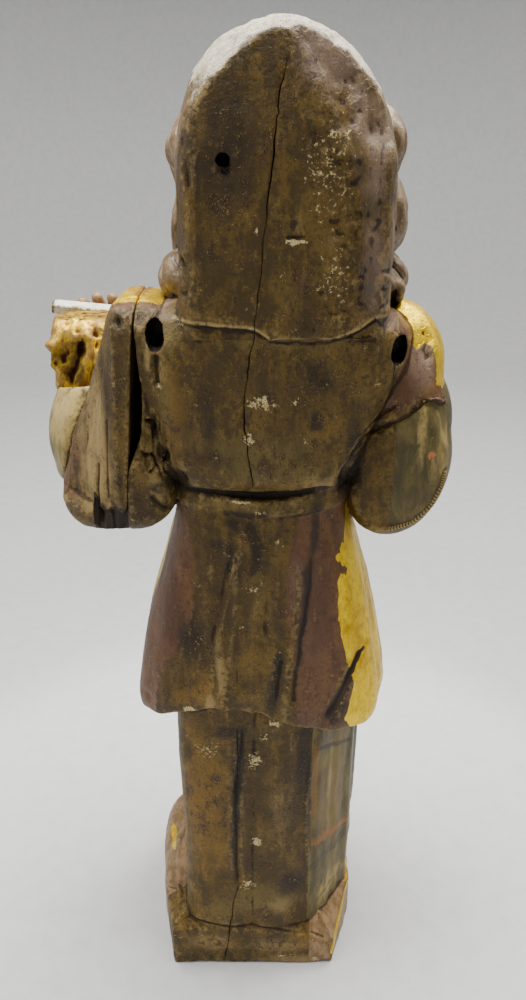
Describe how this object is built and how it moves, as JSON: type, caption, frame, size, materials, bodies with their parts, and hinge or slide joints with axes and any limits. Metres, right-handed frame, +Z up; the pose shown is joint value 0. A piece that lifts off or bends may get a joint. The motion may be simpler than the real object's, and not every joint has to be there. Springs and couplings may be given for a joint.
{
  "type": "carved musician angel statue",
  "caption": "Standing carved and gilded wooden angel with long curls, belted tunic and lute, flat sawn back with empty wing sockets.",
  "frame": {"origin": "middle of the plinth's flat underside", "axes": "+Z up, the figure looks along -Y with its sawn back towards +Y, and its left hand is at +X"},
  "size_m": [0.266, 0.1717, 0.66],
  "materials": {
    "log_wood": "old stained wood with remains of gilding and coloured glazes",
    "arm_wood": "old bare wood with remains of gilding and green glaze",
    "lute_wood": "pale worn paint on wood"
  },
  "bodies": {
    "root": {"angel_figure": "log_wood", "left_arm": "arm_wood", "lute": "lute_wood"}
  },
  "joints": []
}
